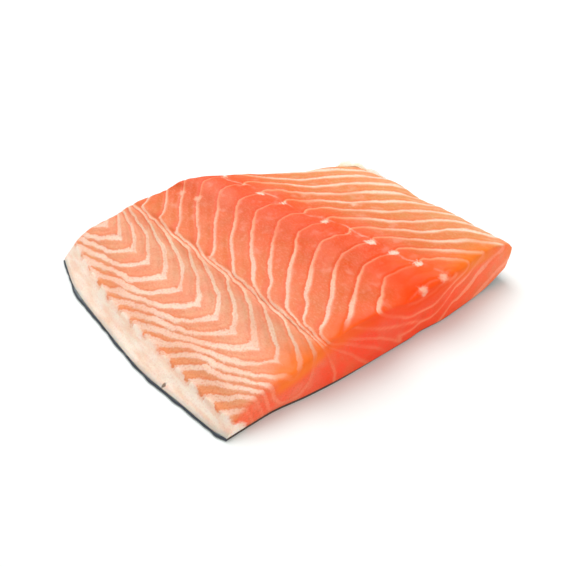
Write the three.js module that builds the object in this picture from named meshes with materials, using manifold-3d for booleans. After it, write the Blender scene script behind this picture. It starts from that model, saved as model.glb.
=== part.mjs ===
// A raw section of salmon fillet, lying skin down with its flesh up.
// Sizes are millimetres. While it is shaped, x runs from the belly edge to the back edge,
// y runs along the fish from the front cut to the rear cut, and z runs up from the table.
// Zero is the front corner of the belly edge, and the last lines move it to the middle.

import * as THREE from "three";
import { mergeVertices } from "three/addons/utils/BufferGeometryUtils.js";
import Module from "manifold-3d";

const wasm = await Module();
wasm.setup();

// Driving dimensions
const MYOMERE = 12.2; // length of one muscle flake along the fish
const SKIN_THICKNESS = 1.2;
const SKIN_GAP = 0.3; // clearance between skin and flesh
const SKIN_PROUD = 0.8; // how far the skin shows past the belly flesh
const BACK_LIFT = 5; // height of the back edge's underside above the table
const BACK_LIFT_RUN = 27; // width of the strip that curls up there
const GROOVE = 0.7; // depth of the furrow at each line of fat
const FLAKE_CROWN = 0.2; // how far a flake stands up between two furrows
const FRONT_LEAN = 0.09; // the front cut leans back by this much for each unit of height
const REAR_LEAN = 0.06;
const BACK_ROUNDING = 1.5; // how far the back face is rounded in at its top and bottom
const BACK_MIDDLE = 12; // height of the middle of the back face
const CLEAR_HEIGHT = 45; // anything above the highest flesh

// A smooth curve through [position, value] points that adds no bumps between them
function smooth(points) {
  const steps = points.slice(1).map(([at, value], i) => (value - points[i][1]) / (at - points[i][0]));
  const slopes = points.map((point, i) => {
    const before = steps[Math.max(i - 1, 0)];
    const after = steps[Math.min(i, steps.length - 1)];
    return before * after > 0 ? (2 * before * after) / (before + after) : 0;
  });
  return (at) => {
    const inside = THREE.MathUtils.clamp(at, points[0][0], points[points.length - 1][0]);
    const i = Math.max(points.findIndex(([end]) => end >= inside) - 1, 0);
    const [start, low] = points[i];
    const [end, high] = points[i + 1];
    const width = end - start;
    const t = (inside - start) / width;
    const rise = t * t * (3 - 2 * t);
    const bend = t * (1 - t) * width * ((1 - t) * slopes[i] - t * slopes[i + 1]);
    return low + (high - low) * rise + bend;
  };
}

// Plan outline: the two long edges as x at a place y, and the two cuts as y at a place x
const bellyEdge = smooth([
  [-12, 2.5], [0, 0.3], [6, -1.4], [24, -3.5], [56, -6.7], [90, -5.4], [118, -3.5], [148, 4],
]);
const backEdge = smooth([[-12, 170.5], [20, 169.8], [55, 168.6], [75, 167], [95, 163.5], [125, 154]]);
const frontCut = smooth([
  [-10, 0], [20, -0.6], [40, -3.6], [57, -5.2], [92, -6.9], [120, -9.8], [170, -8.6],
]);
const rearCut = smooth([
  [-10, 143], [14, 145.8], [30, 141.5], [60, 132], [95, 119], [130, 104.6], [170, 90.5],
]);

// The lines that divide the muscle along the fish: the pale rim, the tips of the belly's
// chevrons, the seam between belly and loin, and the midline of the loin
const rimLine = smooth([[-12, 8], [0, 5], [15, 3.6], [90, 3.2], [108, 5], [128, 8], [150, 12]]);
const tipLine = smooth([[-12, 36.5], [10, 33], [35, 29.6], [80, 27], [150, 26]]);
const seamLine = (y) => 49.6 - 0.06 * y;
const midLine = (y) => 119 - 0.26 * y;
const LANDMARKS = [bellyEdge, rimLine, tipLine, seamLine, midLine, backEdge];

// A band number runs across the fish: -1 at the belly edge, 0 at the rim, 1 at the chevron
// tips, 2 at the seam, 3 at the midline and 4 at the back edge
function acrossAt(band, y) {
  const i = THREE.MathUtils.clamp(Math.floor(band), -1, 3) + 1;
  return THREE.MathUtils.lerp(LANDMARKS[i](y), LANDMARKS[i + 1](y), band - i + 1);
}

// Where flake line number zero lies along the fish, how far apart the lines are, and by how
// much each gap outgrows the one before it
const zigzag = smooth([
  [0, 61.5], [0.25, 47], [0.55, 26.5], [0.8, 14], [1, 8.5], [1.2, 12], [1.5, 18.5], [1.8, 28],
  [1.93, 33], [2.03, 53], [2.12, 63], [2.25, 73], [2.5, 85.5], [2.75, 94.5], [3, 94.7], [3.15, 89],
  [3.3, 79.5], [3.6, 66.5], [4, 48.5],
]);
const spread = smooth([[0, 0.91], [0.5, 0.82], [1, 1], [1.5, 1], [2, 1.04], [2.3, 1], [3, 1], [4, 0.96]]);
const drift = smooth([[0, 0.06], [0.5, 0.23], [1, 0.08], [1.5, 0.13], [2, 0.34], [2.3, 0.02], [4, -0.1]]);

function lineAt(number, band) {
  return zigzag(band) + number * spread(band) * MYOMERE + number ** 2 * drift(band);
}

// Height of the flesh above the table over the bands, along the front and the rear cut
const frontHeight = smooth([
  [-1, 1.8], [-0.5, 4], [0, 7], [0.3, 11.5], [0.7, 14.6], [1.3, 17], [1.96, 22.5], [2.38, 25.5],
  [2.72, 23.5], [3, 24.3], [3.3, 25.5], [3.7, 23], [4, 17.2],
]);
const rearHeight = smooth([
  [-1, 1.8], [-0.5, 5], [0, 9], [0.7, 14.6], [1.3, 18.5], [1.77, 21.7], [2.3, 28.2], [2.47, 32.3],
  [2.75, 32.3], [3, 30.4], [3.5, 25.4], [3.8, 23.6], [4, 18.8],
]);

function heightAt(band, x, y) {
  const along = THREE.MathUtils.clamp((y - frontCut(x)) / (rearCut(x) - frontCut(x)), 0, 1);
  return THREE.MathUtils.lerp(frontHeight(band), rearHeight(band), along);
}

// Height of the underside, which lies flat but for the strip along the back edge
function liftAt(x, y) {
  const curl = (x - backEdge(y) + BACK_LIFT_RUN) / BACK_LIFT_RUN;
  return BACK_LIFT * THREE.MathUtils.clamp(curl, 0, 1) ** 2;
}

// A closed box of cells whose corners, each from 0 to 1 along three ways, are moved by place
function shaped([nx, ny, nz], place) {
  const box = new THREE.BoxGeometry(1, 1, 1, nx, ny, nz);
  box.deleteAttribute("normal");
  box.deleteAttribute("uv");
  const geometry = mergeVertices(box.translate(0.5, 0.5, 0.5));
  const position = geometry.getAttribute("position");
  for (let i = 0; i < position.count; i++) {
    const corner = place(position.getX(i), position.getY(i), position.getZ(i));
    position.setXYZ(i, ...corner);
  }
  return geometry;
}

// The place in plan of a point given by its shares of the width and of the length. Each turn
// brings a first guess nearer to it.
const FIRST_GUESS = [80, 70];
const TURNS = 6;

function planAt(share, along) {
  let [x, y] = FIRST_GUESS;
  for (let turn = 0; turn < TURNS; turn++) {
    x = THREE.MathUtils.lerp(bellyEdge(y), backEdge(y), share);
    y = THREE.MathUtils.lerp(frontCut(x), rearCut(x), along);
  }
  return [x, y];
}

// The space between the two cuts and the two edges, from one height above the underside up.
// The cuts lean in and the back face is rounded. Only the outermost cells feel an edge's shape.
const CELLS_ACROSS = 34;
const CELLS_ALONG = 18;
const FLESH_CELLS_UP = 6;
const EDGE_POWER = 8;

function trimmed(cellsUp, bottom, top, proud) {
  const cells = [CELLS_ACROSS, CELLS_ALONG, cellsUp];
  return shaped(cells, (share, along, up) => {
    const [x, y] = planAt(share, along);
    const lift = liftAt(x, y);
    const z = THREE.MathUtils.lerp(lift + bottom, top ?? lift + bottom + SKIN_THICKNESS, up);
    const level = Math.min(z, 2 * BACK_MIDDLE);
    const lean = level * ((1 - along) * FRONT_LEAN - along * REAR_LEAN);
    const round = BACK_ROUNDING * ((level - BACK_MIDDLE) / BACK_MIDDLE) ** 2 * share ** EDGE_POWER;
    return [x - proud * (1 - share) ** EDGE_POWER - round, y + lean, z];
  });
}

// The furrowed upper face of the side of fish, wider than the section that is cut from it
const COLUMNS = [
  [-1.5, -1, 1], [-1, 0, 2], [0, 1, 7], [1, 2, 8], [2, 2.2, 3], [2.2, 3, 6], [3, 4.2, 6],
]; // first band, last band and how many columns of cells between them
const ROW_SHARES = [0, 0.16, 0.5, 0.84];
const FIRST_LINE = -10;
const LAST_LINE = 12;

function furrowedSlab() {
  const bands = COLUMNS.flatMap(([from, to, count]) =>
    Array.from({ length: count }, (_, i) => from + ((to - from) * i) / count));
  bands.push(COLUMNS.at(-1)[1]);
  const rows = [];
  for (let line = FIRST_LINE; line < LAST_LINE; line++) {
    rows.push(...ROW_SHARES.map((share) => line + share));
  }
  const cells = [bands.length - 1, rows.length - 1, 1];
  return shaped(cells, (share, along, up) => {
    const band = bands[Math.round(share * cells[0])];
    const row = rows[Math.round(along * cells[1])];
    const y = lineAt(row, band);
    const x = acrossAt(band, y);
    const onLine = row % 1 === 0;
    const fade = THREE.MathUtils.smoothstep(band, -0.1, 0.3);
    const relief = onLine ? -GROOVE : FLAKE_CROWN;
    return [x, y, up > 0.5 ? heightAt(band, x, y) + relief * fade : -CLEAR_HEIGHT];
  });
}

function solidOf(geometry) {
  const mesh = new wasm.Mesh({
    numProp: 3,
    vertProperties: geometry.getAttribute("position").array,
    triVerts: new Uint32Array(geometry.index.array),
  });
  return new wasm.Manifold(mesh);
}

function geometryOf(solid) {
  const mesh = solid.getMesh();
  const geometry = new THREE.BufferGeometry();
  geometry.setAttribute("position", new THREE.BufferAttribute(mesh.vertProperties, 3));
  geometry.setIndex(new THREE.BufferAttribute(mesh.triVerts, 1));
  geometry.computeVertexNormals();
  return geometry;
}

// Flesh: the furrowed side of fish, trimmed to the two cuts and the two edges
function makeFlesh() {
  const section = trimmed(FLESH_CELLS_UP, SKIN_THICKNESS + SKIN_GAP, CLEAR_HEIGHT, 0);
  const solid = solidOf(furrowedSlab()).intersect(solidOf(section));
  const material = new THREE.MeshStandardMaterial({ color: 0xf8925f, roughness: 0.35, metalness: 0 });
  const mesh = new THREE.Mesh(geometryOf(solid), material);
  mesh.name = "flesh";
  return mesh;
}

// Skin: one thin layer under the whole section, which shows along the belly edge
function makeSkin() {
  const geometry = trimmed(1, 0, null, SKIN_PROUD);
  geometry.computeVertexNormals();
  const material = new THREE.MeshStandardMaterial({ color: 0x3a444c, roughness: 0.3, metalness: 0.2 });
  const mesh = new THREE.Mesh(geometry, material);
  mesh.name = "skin";
  return mesh;
}

const fillet = new THREE.Group();
fillet.add(makeFlesh(), makeSkin());

const middle = new THREE.Box3().setFromObject(fillet).getCenter(new THREE.Vector3());
fillet.position.set(-middle.x, -middle.y, 0);

export default fillet;
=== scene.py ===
# %% [markdown]
# This lesson dresses a raw section of salmon fillet. The real piece is a slab of muscle on a thin
# layer of skin. The muscle is built of flakes, and thin walls of fat part them, which show on
# top as pale zigzag lines. It could be sculpted by hand. Here it is worked out from a few smooth
# curves, so that the outline, the furrows and the colours all follow one another.

# %% Load the solids
import math

import bpy
import numpy as np
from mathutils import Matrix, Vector


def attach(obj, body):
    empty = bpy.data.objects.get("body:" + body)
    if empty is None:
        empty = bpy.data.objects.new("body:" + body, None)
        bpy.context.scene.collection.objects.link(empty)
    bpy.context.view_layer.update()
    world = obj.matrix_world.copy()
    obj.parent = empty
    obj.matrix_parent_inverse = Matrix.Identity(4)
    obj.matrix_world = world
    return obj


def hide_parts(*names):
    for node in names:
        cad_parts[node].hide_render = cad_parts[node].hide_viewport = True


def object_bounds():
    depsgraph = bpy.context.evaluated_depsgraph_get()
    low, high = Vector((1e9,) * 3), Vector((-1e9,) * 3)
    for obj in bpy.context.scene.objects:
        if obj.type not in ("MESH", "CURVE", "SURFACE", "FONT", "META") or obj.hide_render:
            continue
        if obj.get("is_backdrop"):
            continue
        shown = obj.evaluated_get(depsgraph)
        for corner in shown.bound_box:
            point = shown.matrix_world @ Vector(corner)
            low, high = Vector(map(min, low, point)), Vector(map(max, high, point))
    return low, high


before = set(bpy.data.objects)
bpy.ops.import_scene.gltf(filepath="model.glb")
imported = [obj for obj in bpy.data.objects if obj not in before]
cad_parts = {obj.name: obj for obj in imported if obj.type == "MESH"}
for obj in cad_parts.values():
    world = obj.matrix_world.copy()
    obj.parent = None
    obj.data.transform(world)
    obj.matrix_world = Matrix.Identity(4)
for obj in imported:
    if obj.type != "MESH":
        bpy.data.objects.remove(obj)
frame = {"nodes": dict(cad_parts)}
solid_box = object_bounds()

print("solids:", ", ".join(frame["nodes"]), "in a box of", solid_box[1] - solid_box[0])

# %% [markdown]
# The camera comes first, because every later choice is judged through it. It looks down at the
# front corner of the belly from about a forearm's length away. A longer lens from further off
# would flatten the piece, so the distance and the focal length belong together.

# %% Camera
MM = 0.001
VIEW_AZIMUTH = math.radians(-40)
VIEW_ELEVATION = math.radians(40)
VIEW_DISTANCE = 340 * MM
VIEW_AIM = Vector((-2.5, -8.9, 0)) * MM
NEAREST_SEEN = 10 * MM
PICTURE_PIXELS = 567
FOCAL_PIXELS = 680
SENSOR_WIDTH = 36


def direction(azimuth, elevation):
    """The way from the piece towards something that stands round it, as a unit vector."""
    flat = math.cos(elevation)
    return Vector((math.sin(azimuth) * flat, -math.cos(azimuth) * flat, math.sin(elevation)))


def place(name, data, spot, aim):
    """Puts a camera or a lamp at a spot and turns it to look at its aim."""
    made = bpy.data.objects.new(name, data)
    made.location = spot
    made.rotation_euler = (aim - spot).to_track_quat("-Z", "Y").to_euler()
    bpy.context.collection.objects.link(made)
    return made


lens = bpy.data.cameras.new("camera")
lens.sensor_width = SENSOR_WIDTH
lens.lens = SENSOR_WIDTH * FOCAL_PIXELS / PICTURE_PIXELS
lens.clip_start = NEAREST_SEEN
view_from = VIEW_AIM + direction(VIEW_AZIMUTH, VIEW_ELEVATION) * VIEW_DISTANCE
bpy.context.scene.camera = place("camera", lens, view_from, VIEW_AIM)
print("lens:", round(lens.lens, 1), "mm")

# %% [markdown]
# The light is a bright soft studio: a white sky all round, and one broad lamp from behind, so
# that the shadow falls towards the viewer. A weak low lamp in front keeps the front cut glowing,
# as thin moist flesh does. The plain Standard view keeps the floor white and the orange clear.
# A lamp is given by its azimuth and elevation in degrees and its watts.

# %% Light
SKY_STRENGTH = 0.6
SKY_COLOUR = (0.91, 0.99, 0.94, 1)
LAMP_DISTANCE = 900 * MM
LAMP_SIZE = 720 * MM
LAMPS = {"key": (150, 60, 7.65), "fill": (8, 14, 2.5)}

bpy.context.scene.view_settings.view_transform = "Standard"
sky = bpy.data.worlds.new("studio")
sky.use_nodes = True
sky.node_tree.nodes["Background"].inputs["Color"].default_value = SKY_COLOUR
sky.node_tree.nodes["Background"].inputs["Strength"].default_value = SKY_STRENGTH
bpy.context.scene.world = sky

for name, (azimuth, elevation, watts) in LAMPS.items():
    lamp = bpy.data.lights.new(name, "AREA")
    lamp.shape = "DISK"
    lamp.size = LAMP_SIZE
    lamp.energy = watts
    way = direction(math.radians(azimuth), math.radians(elevation))
    place(name, lamp, way * LAMP_DISTANCE, Vector())
    print(name, "lamp:", watts, "watts")

# %% [markdown]
# Sizes are millimetres in the fish's own frame: x runs from the belly edge to the back edge, y
# along the fish from the front cut to the rear cut, and z up from the table. A curve is given by
# a few points and passes through them without adding bumps. It takes whole arrays at once,
# because the mesh has some hundred thousand points.

# %% Smooth curves
def smooth(points):
    """Gives the function that passes through (place, value) points."""
    at, value = np.array(points, float).T
    steps = np.diff(value) / np.diff(at)
    before = np.r_[steps[:1], steps]
    after = np.r_[steps, steps[-1:]]
    agree = before * after > 0
    slopes = np.where(agree, 2 * before * after / np.where(agree, before + after, 1), 0)

    def curve(where):
        inside = np.clip(where, at[0], at[-1])
        i = np.clip(np.searchsorted(at, inside) - 1, 0, len(at) - 2)
        width = at[i + 1] - at[i]
        t = (inside - at[i]) / width
        rise = t * t * (3 - 2 * t)
        bend = t * (1 - t) * width * ((1 - t) * slopes[i] - t * slopes[i + 1])
        return value[i] + (value[i + 1] - value[i]) * rise + bend

    return curve


def lerp(low, high, share):
    return low + (high - low) * share


def ease(value, low, high):
    """Rises softly from 0 at low to 1 at high. It falls where low is the larger."""
    t = np.clip((value - low) / (high - low), 0, 1)
    return t * t * (3 - 2 * t)


def hump(*distances):
    """A soft hump of height 1. Each distance from its middle is counted in reaches."""
    return np.exp(-sum(distance**2 for distance in distances))


print("one reach from its middle, a hump is still", round(float(hump(1)), 2), "high")

# %% [markdown]
# The outline seen from above has four sides: the long belly edge, the back edge and two slanting
# cuts. The edges give x at a place y, and the cuts give y at a place x.

# %% Outline
FIRST_GUESS = (80, 70)
TURNS = 6

belly_edge = smooth([
    (-12, 2.5), (0, 0.3), (6, -1.4), (24, -3.5), (56, -6.7), (90, -5.4), (118, -3.5), (148, 4),
])
back_edge = smooth([(-12, 170.5), (20, 169.8), (55, 168.6), (75, 167), (95, 163.5), (125, 154)])
front_cut = smooth([
    (-10, 0), (20, -0.6), (40, -3.8), (57, -5.8), (75, -7.2), (92, -8.1), (98, -8.4), (104, -8.2),
    (110, -8.8), (120, -9.8), (170, -8.6),
])
rear_cut = smooth([
    (-10, 144), (14, 146.6), (30, 142.8), (60, 133.3), (95, 120.3), (130, 105.9), (170, 91.8),
])


def plan_at(share, along):
    """The place in plan by shares of the width and the length. Each turn brings it nearer."""
    x = np.full(np.shape(share), FIRST_GUESS[0], float)
    y = np.full(np.shape(share), FIRST_GUESS[1], float)
    for _ in range(TURNS):
        x = lerp(belly_edge(y), back_edge(y), share)
        y = lerp(front_cut(x), rear_cut(x), along)
    return x, y


middle_x, middle_y = plan_at(0.5, 0.5)
print("the middle in plan:", round(float(middle_x), 1), round(float(middle_y), 1), "mm")

# %% [markdown]
# Lines along the fish divide the muscle: the inner border of the pale rim, the tips of the
# belly's chevrons, the seam between belly and loin, and the midline of the loin. A band number
# counts across them, from -1 at the belly edge through 0 at the rim, 1 at the tips, 2 at the
# seam and 3 at the midline to 4 at the back edge. Heights, lines and colours all read it.

# %% Bands across the fish
SEAM_START = 49.6
SEAM_SLANT = 0.06
MID_START = 119
MID_SLANT = 0.26
rim_line = smooth([(-12, 8), (0, 5), (15, 3.6), (90, 3.2), (108, 5), (128, 8), (150, 12)])
tip_line = smooth([(-12, 36.5), (10, 33), (35, 29.6), (80, 27), (150, 26)])


def seam_line(y):
    return SEAM_START - SEAM_SLANT * y


def mid_line(y):
    return MID_START - MID_SLANT * y


LANDMARKS = [belly_edge, rim_line, tip_line, seam_line, mid_line, back_edge]


def band_at(x, y):
    lines = [line(y) for line in LANDMARKS]
    crossed = [np.clip((x - low) / (high - low), 0, 1) for low, high in zip(lines, lines[1:])]
    return sum(crossed) - 1


middle_band = band_at(middle_x, middle_y)
print("the middle lies in band", round(float(middle_band), 2))

# %% [markdown]
# The height of the flesh is drawn twice, along the front and along the rear cut, and blends from
# one to the other. Three small soft forms lie over that: a step along the rear cut at the top of
# the loin, a sag in the middle of the front cut's edge, and a dip half way along the back. The
# underside lies flat, but for a strip along the back that curls up.

# %% Heights
STEP_REACH = 7
DIP_DEPTH = 2.2
DIP_MIDDLE = 50
DIP_LENGTH = 10
DIP_BANDS = (3.4, 4)
SAG_DEPTH = 3.2
SAG_MIDDLE = 100
SAG_WIDTH = 12
SAG_REACH = 8
BACK_LIFT = 5
BACK_LIFT_RUN = 27

front_height = smooth([
    (-1, 1.8), (-0.5, 4), (0, 7), (0.3, 11.5), (0.7, 14.6), (1.3, 17), (1.96, 22.5), (2.38, 25.5),
    (2.72, 23.5), (3, 24.3), (3.3, 25.7), (3.7, 23.8), (4, 18.4),
])
rear_height = smooth([
    (-1, 1.8), (-0.5, 5), (0, 9), (0.7, 14.6), (1.3, 18.5), (1.77, 21.7), (2.1, 25.2), (2.3, 27.8),
    (2.5, 30.6), (2.65, 32.2), (2.8, 32.6), (3, 30.9), (3.5, 25.5), (3.8, 24), (4, 20.2),
])
rear_step = smooth([(2.2, 0), (2.42, -0.9), (2.5, -0.1), (2.56, 0.9), (2.7, 0.5), (2.9, 0)])


def height_at(x, y):
    band = band_at(x, y)
    along = np.clip((y - front_cut(x)) / (rear_cut(x) - front_cut(x)), 0, 1)
    sag = SAG_DEPTH * hump((x - SAG_MIDDLE) / SAG_WIDTH, (y - front_cut(x)) / SAG_REACH)
    step_up = rear_step(band) * hump((rear_cut(x) - y) / STEP_REACH)
    dip = DIP_DEPTH * ease(band, *DIP_BANDS) * hump((y - DIP_MIDDLE) / DIP_LENGTH)
    return lerp(front_height(band), rear_height(band), along) + step_up - sag - dip


def lift_at(x, y):
    return BACK_LIFT * np.clip((x - back_edge(y) + BACK_LIFT_RUN) / BACK_LIFT_RUN, 0, 1) ** 2


print("the middle is", round(float(height_at(middle_x, middle_y)), 1), "mm high")

# %% [markdown]
# The cuts lean back a little and the back face is rounded, as a knife and soft flesh leave them.
# Towards the front corner the foot of the back is tucked in further. So a point's place in plan
# depends on its height too. The powers keep each of these forms close to its own edge.

# %% Leaning sides
FRONT_LEAN = 0.09
REAR_LEAN = 0.06
BACK_ROUNDING = 1.5
BACK_MIDDLE = 12
BACK_TOP = 2 * BACK_MIDDLE
UNDERCUT = 3.2
UNDERCUT_TOP = 1.4 * BACK_MIDDLE
UNDERCUT_FOOT = 0.2 * BACK_MIDDLE
UNDERCUT_POWER = 4
EDGE_POWER = 8


def upright(share, along):
    """Gives the place in plan of points over one another as a function of height."""
    x, y = plan_at(share, along)

    def at_height(z):
        level = np.minimum(z, BACK_TOP)
        lean = level * ((1 - along) * FRONT_LEAN - along * REAR_LEAN)
        rounding = BACK_ROUNDING * ((level - BACK_MIDDLE) / BACK_MIDDLE) ** 2
        tucked = UNDERCUT * ease(level, UNDERCUT_TOP, UNDERCUT_FOOT) * (1 - along) ** UNDERCUT_POWER
        return x - (rounding + tucked) * share**EDGE_POWER, y + lean

    return at_height, lift_at(x, y)


print("at its top the front cut leans back by", round(FRONT_LEAN * BACK_TOP, 1), "mm")

# %% [markdown]
# Both pieces are closed boxes of cells whose points are moved into shape. That keeps the top as
# an even grid, which carries the fine pattern well. The underside is never seen close, so it
# gets coarse cells, and the ones along its rim take in the fine points of the walls.

# %% A closed box of cells
def facing(sheet, turned=False):
    """The four-sided faces of a sheet of point numbers."""
    corners = [sheet[:-1, :-1], sheet[1:, :-1], sheet[1:, 1:], sheet[:-1, 1:]]
    if turned:
        corners.reverse()
    return np.stack(corners, -1).reshape(-1, 4)


def rim_points(line, fine):
    return line[:-1].tolist() if fine else [int(line[0])]


def box_of_cells(across, along, up, step):
    """Gives the points' cell places, the fine faces and the coarse faces of the underside."""
    number = np.full((across + 1, along + 1, up + 1), -1)
    number[[0, -1]] = 0
    number[:, [0, -1]] = 0
    number[:, :, -1] = 0
    number[::step, ::step, 0] = 0
    places = np.argwhere(number == 0)
    number[tuple(places.T)] = np.arange(len(places))
    fine = np.concatenate([
        facing(number[:, :, -1]),
        facing(number[:, 0]),
        facing(number[:, -1], turned=True),
        facing(number[0], turned=True),
        facing(number[-1]),
    ])
    coarse = []
    floor = number[:, :, 0]
    for i in range(0, across, step):
        for j in range(0, along, step):
            cell = floor[i:i + step + 1, j:j + step + 1]
            coarse.append(
                rim_points(cell[0], i == 0)
                + rim_points(cell[:, -1], j + step == along)
                + rim_points(cell[-1, ::-1], i + step == across)
                + rim_points(cell[::-1, 0], j == 0)
            )
    return places, fine, coarse


print("a box of 2 by 2 by 2 cells has", len(box_of_cells(2, 2, 2, 1)[0]), "points")

# %% [markdown]
# The flesh's walls run from just above the skin to the top, and the cells get finer towards the
# top edge, where the shape turns. The top's height depends on its place and its place on its
# height, so it is found in a few turns.

# %% Points of the flesh
FLESH_BOTTOM = 1
ACROSS = 272
ALONG = 232
UP = 24
UNDERSIDE_STEP = 8
TOP_FINENESS = 1.5

places, flesh_faces, underside_faces = box_of_cells(ACROSS, ALONG, UP, UNDERSIDE_STEP)
share, along, up = (places / (ACROSS, ALONG, UP)).T
up = 1 - (1 - up) ** TOP_FINENESS
at_height, lift = upright(share, along)
bottom = lift + FLESH_BOTTOM
top = bottom
for _ in range(TURNS):
    top = height_at(*at_height(top))
z = lerp(bottom, top, up)
flesh_points = np.stack([*at_height(z), z], -1)
on_top = up == 1
on_cut = ~on_top & (share > 0)
print("flesh:", len(flesh_points), "points,", len(flesh_faces), "fine faces")

# %% [markdown]
# Soft flesh rounds off the edge that a knife leaves. Bevelling so many cells would be slow.
# Instead each point near an edge moves again and again towards the middle of its neighbours,
# which melts the edge. The foot of the walls stays where it is.

# %% Rounded edges
FRONT_REACH = 5
OTHER_REACH = 2
EDGE_SOFTNESS = 0.6
FULLY_SOFT = 0.1
FOOT_KEPT = (0.5, 3)
FEWEST_NEIGHBOURS = 3
EDGE_TURNS = 50

sides = [flesh_faces[:, [i, (i + 1) % 4]] for i in range(4)]
links = np.unique(np.sort(np.concatenate(sides), axis=1), axis=0)
link_ends = np.concatenate([links[:, 0], links[:, 1]])
link_starts = np.concatenate([links[:, 1], links[:, 0]])
neighbours = np.maximum(np.bincount(link_ends, minlength=len(flesh_points)), 1)


def melted(values, amount, turns):
    """Values at the flesh's points, each drawn towards the mean of its neighbours."""
    for _ in range(turns):
        total = np.bincount(link_ends, values[link_starts], len(values))
        values = values + amount * (total / neighbours - values)
    return values


x, y, z = flesh_points.T
from_front = y - front_cut(x) - FRONT_LEAN * z
from_others = np.minimum(rear_cut(x) - REAR_LEAN * z - y, back_edge(y) - BACK_ROUNDING - x)
reach = np.where(from_front < from_others, FRONT_REACH, OTHER_REACH)
from_edge = np.where(on_top, np.minimum(from_front, from_others), top - z)
softness = EDGE_SOFTNESS * ease(from_edge / reach, 1, FULLY_SOFT) * ease(z - bottom, *FOOT_KEPT)
softness = softness * (neighbours >= FEWEST_NEIGHBOURS)
flesh_points = np.stack([melted(values, softness, EDGE_TURNS) for values in flesh_points.T], -1)
print("edges rounded over", FRONT_REACH, "mm in front and", OTHER_REACH, "mm elsewhere")

# %% [markdown]
# The lines of fat are one family: line number n lies along the fish at a place that depends on
# the band only. Turned round, that gives every point a flake number, which is whole on a line.
# The zigzag says where line nought lies, the spread how far apart the lines are, and the drift
# how much each gap outgrows the one before it.

# %% Flake numbers
MYOMERE = 12.2

zigzag = smooth([
    (0, 61.5), (0.25, 47), (0.55, 26.5), (0.8, 14), (0.97, 9.3), (1, 8.4), (1.03, 9.2), (1.2, 12),
    (1.5, 18.5), (1.8, 28), (1.9, 32), (1.95, 36.5), (2, 45), (2.02, 52), (2.035, 57), (2.06, 60.3),
    (2.12, 64), (2.25, 73), (2.5, 86), (2.65, 93), (2.78, 96.6), (2.88, 95.9), (2.98, 93.4),
    (3.04, 95.2), (3.1, 93), (3.16, 89), (3.26, 81.5), (3.4, 72.5), (3.6, 65.5), (4, 48.5),
])
spread = smooth([
    (0, 0.91), (0.5, 0.82), (0.8, 0.965), (1, 1), (1.5, 1), (2, 1.04), (2.3, 1), (3, 1), (4, 0.96),
])
drift = smooth([
    (0, 0.06), (0.5, 0.23), (0.8, 0.11), (1, 0.08), (1.5, 0.13), (2, 0.34), (2.3, 0.02), (4, -0.1),
])


def flake_at(band, y):
    """Solves line(n) = y for n, where line(n) = zigzag + n * gap + n * n * drift."""
    beyond = y - zigzag(band)
    gap = spread(band) * MYOMERE
    return 2 * beyond / (gap + np.sqrt(np.maximum(gap**2 + 4 * drift(band) * beyond, 1)))


print("the middle lies in flake", round(float(flake_at(middle_band, middle_y)), 1))

# %% [markdown]
# Inside the flesh the walls of fat are nested cones, so the cuts show nested arcs, and their near
# arms fan out as they go down. A point on a cut therefore takes its line from a source nearer to
# the belly. How far off the source lies depends on the source itself, so it is found by halving
# the stretch that must hold it.

# %% Sources of the lines on the cuts
SEAM_MARGIN = 5
HALVINGS = 16
fan = smooth([(-5, 0), (-2, 0.35), (0, 1.05), (2.5, 1.75), (12, 2), (30, 2.2)])

x, y, z = flesh_points.T
depth = np.maximum(height_at(x, y) - z, 0)
band = band_at(x, y)
near = np.minimum(x, seam_line(y) - SEAM_MARGIN)
far = x
for _ in range(HALVINGS):
    source = (near + far) / 2
    too_far = source + fan(source - seam_line(y)) * depth > x
    near, far = np.where(too_far, near, source), np.where(too_far, source, far)
print("sources lie up to", round(float((x - source).max())), "mm nearer to the belly")

# %% [markdown]
# Under the belly's chevrons a line dips below the cut's edge and comes up again further on. The
# loin's arcs hang round its middle, from the seam to the back, and the outer ones almost reach
# the skin. The hypotenuse of way and depth rounds the arcs.

# %% Flakes on the cuts
TIPS = 1
LOIN_MIDDLE = 2.87
BELLY_CONES = 0.09
BELLY_CONES_END = (2, 1.5)
LOIN_CONES = 0.14
LEFT_ARM_SHARE = 0.1
BACK_JOINS = (2.85, 3.1)
LOIN_JOINS = (1.9, 2.2)
back_cones = smooth([(0, 0), (3, 1.1), (6, 2), (18, 3.45), (30, 4.3)])

tip_flake = flake_at(TIPS, y)
middle_flake = flake_at(LOIN_MIDDLE, y)
source_band = band_at(source, y)
belly_flake = flake_at(source_band, y)
belly_cones = BELLY_CONES * depth * ease(source_band, *BELLY_CONES_END)
below_tips = np.hypot(np.maximum(tip_flake - belly_flake, 0), belly_cones)
left_arm = flake_at(np.minimum(source_band, LOIN_MIDDLE), y)
right_arm = flake_at(np.maximum(band, LOIN_MIDDLE), y)
loin_cones = LOIN_CONES * depth * lerp(LEFT_ARM_SHARE, 1, ease(band, 2, 3))
cones = lerp(loin_cones, back_cones(depth), ease(band, *BACK_JOINS))
past_middle = np.hypot(np.maximum(left_arm, right_arm) - middle_flake, cones)
in_loin = ease(source_band, *LOIN_JOINS)
plain_flake = lerp(tip_flake - below_tips, middle_flake + past_middle, in_loin)
print("flake lines from", round(plain_flake.min()), "to", round(plain_flake.max()))

# %% [markdown]
# To draw a line a millimetre wide, its distance is needed in millimetres. That is the flake
# number's distance from a whole number, divided by how fast the number changes along the
# surface. Soft random waves then push the lines about. A wave is given by its size, its seed and
# how far it pushes over the loin and over the back.

# %% Distances and random waves
WANDERINGS = [(18, 3, 0.45, 0.25), (6, 4, 0.2, 0.1), (2.8, 6, 0.1, 0.1)]
BACK_BANDS = (2.9, 3.3)
GENTLEST = 0.05
STEEPEST_WANDER = 0.5
STEEPEST = 0.6


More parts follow.
